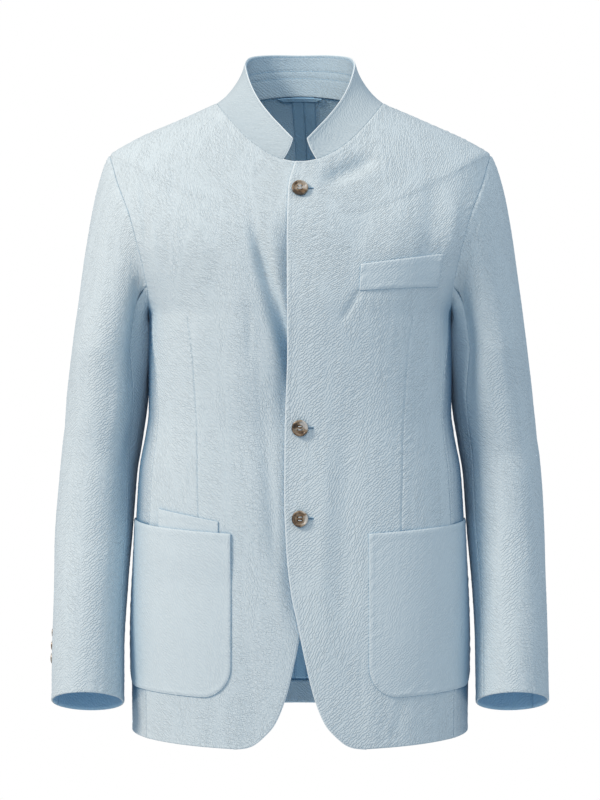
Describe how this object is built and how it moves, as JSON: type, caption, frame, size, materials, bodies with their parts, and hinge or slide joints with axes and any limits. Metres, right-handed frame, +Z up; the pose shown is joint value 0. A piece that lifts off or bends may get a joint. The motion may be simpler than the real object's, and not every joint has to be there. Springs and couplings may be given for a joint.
{
  "type": "mao jacket",
  "caption": "Light blue seersucker mao jacket with a band collar, buttoned front, patch pockets, a chest welt and two-piece sleeves, filled out as worn.",
  "frame": {"origin": "middle of the neck, level with the collar seam at the shoulders, where the wearer holds the jacket up", "axes": "+Z up, -Y out of the buttoned front, +X towards the wearer's left sleeve"},
  "size_m": [0.5903, 0.2548, 0.8238],
  "materials": {
    "cloth": "matte",
    "cloth_inside": "matte",
    "tape": "matte",
    "horn": "satin"
  },
  "bodies": {
    "root": {"front_left": "cloth", "front_right": "cloth", "side_left": "cloth", "side_right": "cloth", "back_left": "cloth", "back_right": "cloth", "collar": "cloth", "top_sleeve_left": "cloth", "top_sleeve_right": "cloth", "under_sleeve_left": "cloth", "under_sleeve_right": "cloth", "patch_pocket_left": "cloth", "patch_pocket_right": "cloth", "ticket_pocket_right": "cloth", "chest_welt_left": "cloth", "hem_back": "cloth_inside", "collar_facing": "cloth_inside", "seam_allowance_left": "tape", "seam_allowance_right": "tape", "hanger_loop": "tape", "front_button_1": "horn", "front_button_2": "horn", "front_button_3": "horn", "cuff_button_left_1": "horn", "cuff_button_left_2": "horn", "cuff_button_left_3": "horn", "cuff_button_right_1": "horn", "cuff_button_right_2": "horn", "cuff_button_right_3": "horn"}
  },
  "joints": []
}
